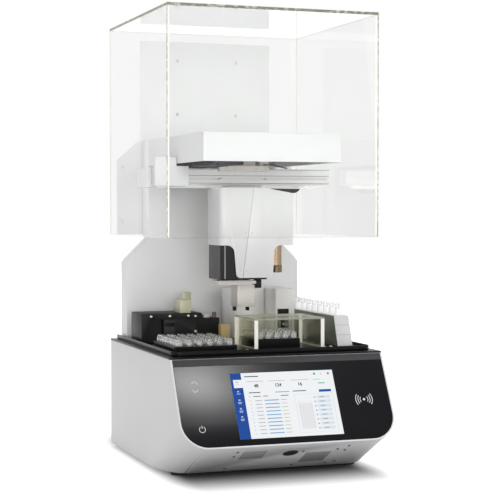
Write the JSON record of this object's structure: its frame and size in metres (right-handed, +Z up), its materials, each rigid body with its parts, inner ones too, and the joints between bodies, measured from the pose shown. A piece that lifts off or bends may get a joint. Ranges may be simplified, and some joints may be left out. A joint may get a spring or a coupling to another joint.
{
  "type": "liquid handling robot",
  "caption": "Bench liquid handling robot: touch-panel base, deck of vial racks, gantry with gripper under an arm, and a clear hood that a screw lifts behind the tower.",
  "frame": {"origin": "on the table under the middle of the outline", "axes": "+X to the operator's right, +Y to the rear, +Z up"},
  "size_m": [0.452, 0.5592, 0.935],
  "materials": {
    "base_shell": "satin white powder coat",
    "bottom_plate": "grey powder coat",
    "rubber_feet": "matt black",
    "front_glass": "black back-printed glass",
    "touch_display": "lit screen",
    "panel_top_strip": "matt dark grey",
    "chin_port_cap": "matt black",
    "chin_screws": "plain steel",
    "power_inlet": "matt black",
    "rear_sockets": "plain steel",
    "deck_plate": "black anodised",
    "deck_rim": "matt black",
    "white_pins": "white",
    "control_electronics": "boards and power supply",
    "lift_motor": "black motor",
    "tower_cover": "satin white powder coat",
    "tower_frame": "plain aluminium",
    "lift_rails": "ground steel",
    "arm_cover": "satin white powder coat",
    "arm_beam": "plain aluminium",
    "y_rails": "ground steel",
    "y_cable_chain": "matt black",
    "capper_housing": "black anodised look",
    "module_dish": "clear, faintly yellow",
    "tan_block": "tan",
    "shaker_tower": "white",
    "tower_keypad": "black membrane",
    "hood_front_panel": "clear acrylic",
    "hood_left_panel": "clear acrylic",
    "hood_right_panel": "clear acrylic",
    "hood_top_panel": "clear acrylic",
    "hood_rear_panel": "clear acrylic",
    "hood_plate": "satin white powder coat",
    "hood_screws": "plain steel",
    "hood_carriages": "plain steel",
    "lift_screw": "rolled steel screw",
    "gantry_plate": "plain aluminium",
    "x_beam": "clear anodised",
    "beam_end_cover": "satin white powder coat",
    "x_motor_cover": "satin white powder coat",
    "x_rail": "ground steel",
    "x_cable_chain": "matt black",
    "x_carriage": "plain steel",
    "head_frame": "black anodised",
    "head_cover_left": "white shell",
    "head_cover_right": "white shell",
    "head_screws": "plain steel",
    "head_cartridge": "amber",
    "tool_plate": "clear anodised",
    "gripper_body": "clear anodised",
    "sensor_block": "matt black",
    "left_finger": "blackened steel",
    "right_finger": "blackened steel",
    "front_rack": "black anodised",
    "front_vials": "clear vials",
    "middle_rack": "black anodised",
    "middle_vials": "clear vials",
    "draft_shield": "clear acrylic",
    "tube_rack": "clear acrylic",
    "tubes": "white and clear tubes"
  },
  "bodies": {
    "base": {"base_shell": "base_shell", "bottom_plate": "bottom_plate", "rubber_feet": "rubber_feet", "front_glass": "front_glass", "touch_display": "touch_display", "panel_top_strip": "panel_top_strip", "chin_port_cap": "chin_port_cap", "chin_screws": "chin_screws", "power_inlet": "power_inlet", "rear_sockets": "rear_sockets", "deck_plate": "deck_plate", "deck_rim": "deck_rim", "white_pins": "white_pins", "control_electronics": "control_electronics", "lift_motor": "lift_motor", "tower_cover": "tower_cover", "tower_frame": "tower_frame", "lift_rails": "lift_rails", "arm_cover": "arm_cover", "arm_beam": "arm_beam", "y_rails": "y_rails", "y_cable_chain": "y_cable_chain", "capper_housing": "capper_housing", "module_dish": "module_dish", "tan_block": "tan_block", "shaker_tower": "shaker_tower", "tower_keypad": "tower_keypad"},
    "hood": {"hood_front_panel": "hood_front_panel", "hood_left_panel": "hood_left_panel", "hood_right_panel": "hood_right_panel", "hood_top_panel": "hood_top_panel", "hood_rear_panel": "hood_rear_panel", "hood_plate": "hood_plate", "hood_screws": "hood_screws", "hood_carriages": "hood_carriages"},
    "lift_screw": {"lift_screw": "lift_screw"},
    "gantry": {"gantry_plate": "gantry_plate", "x_beam": "x_beam", "beam_end_cover": "beam_end_cover", "x_motor_cover": "x_motor_cover", "x_rail": "x_rail", "x_cable_chain": "x_cable_chain"},
    "head": {"x_carriage": "x_carriage", "head_frame": "head_frame", "head_cover_left": "head_cover_left", "head_cover_right": "head_cover_right", "head_screws": "head_screws", "head_cartridge": "head_cartridge"},
    "tool": {"tool_plate": "tool_plate", "gripper_body": "gripper_body", "sensor_block": "sensor_block"},
    "left_finger": {"left_finger": "left_finger"},
    "right_finger": {"right_finger": "right_finger"},
    "front_rack": {"front_rack": "front_rack", "front_vials": "front_vials"},
    "middle_rack": {"middle_rack": "middle_rack", "middle_vials": "middle_vials"},
    "draft_shield": {"draft_shield": "draft_shield"},
    "tube_rack": {"tube_rack": "tube_rack", "tubes": "tubes"}
  },
  "joints": [
    {"name": "hood_lift", "type": "slide", "parent": "base", "child": "hood", "axis": [0, 0, 1], "range_m": [-0.2325, 0]},
    {"name": "lift_screw_turn", "type": "hinge", "parent": "base", "child": "lift_screw", "pos_m": [0, 0.2486, 0.457], "axis": [0, 0, 1], "range_deg": [-3400, 20]},
    {"name": "gantry_travel", "type": "slide", "parent": "base", "child": "gantry", "axis": [0, 1, 0], "range_m": [-0.13, 0.075]},
    {"name": "head_travel", "type": "slide", "parent": "gantry", "child": "head", "axis": [1, 0, 0], "range_m": [-0.105, 0.07]},
    {"name": "tool_travel", "type": "slide", "parent": "head", "child": "tool", "axis": [0, 0, 1], "range_m": [-0.04, 0]},
    {"name": "left_finger_grip", "type": "slide", "parent": "tool", "child": "left_finger", "axis": [1, 0, 0], "range_m": [0, 0.011]},
    {"name": "right_finger_grip", "type": "slide", "parent": "tool", "child": "right_finger", "axis": [1, 0, 0], "range_m": [-0.011, 0]},
    {"name": "front_rack_lift", "type": "slide", "parent": "base", "child": "front_rack", "axis": [0, 0, 1], "range_m": [0, 0.1]},
    {"name": "middle_rack_draw", "type": "slide", "parent": "base", "child": "middle_rack", "axis": [0, -1, 0], "range_m": [0, 0.06]},
    {"name": "draft_shield_lift", "type": "slide", "parent": "base", "child": "draft_shield", "axis": [0, 0, 1], "range_m": [0, 0.06]},
    {"name": "tube_rack_lift", "type": "slide", "parent": "base", "child": "tube_rack", "axis": [0, 0, 1], "range_m": [0, 0.05]}
  ],
  "couplings": [
    {"joint": "lift_screw_turn", "follows": "hood_lift", "rad_per_m": 251.33},
    {"joint": "right_finger_grip", "follows": "left_finger_grip", "ratio": -1}
  ]
}
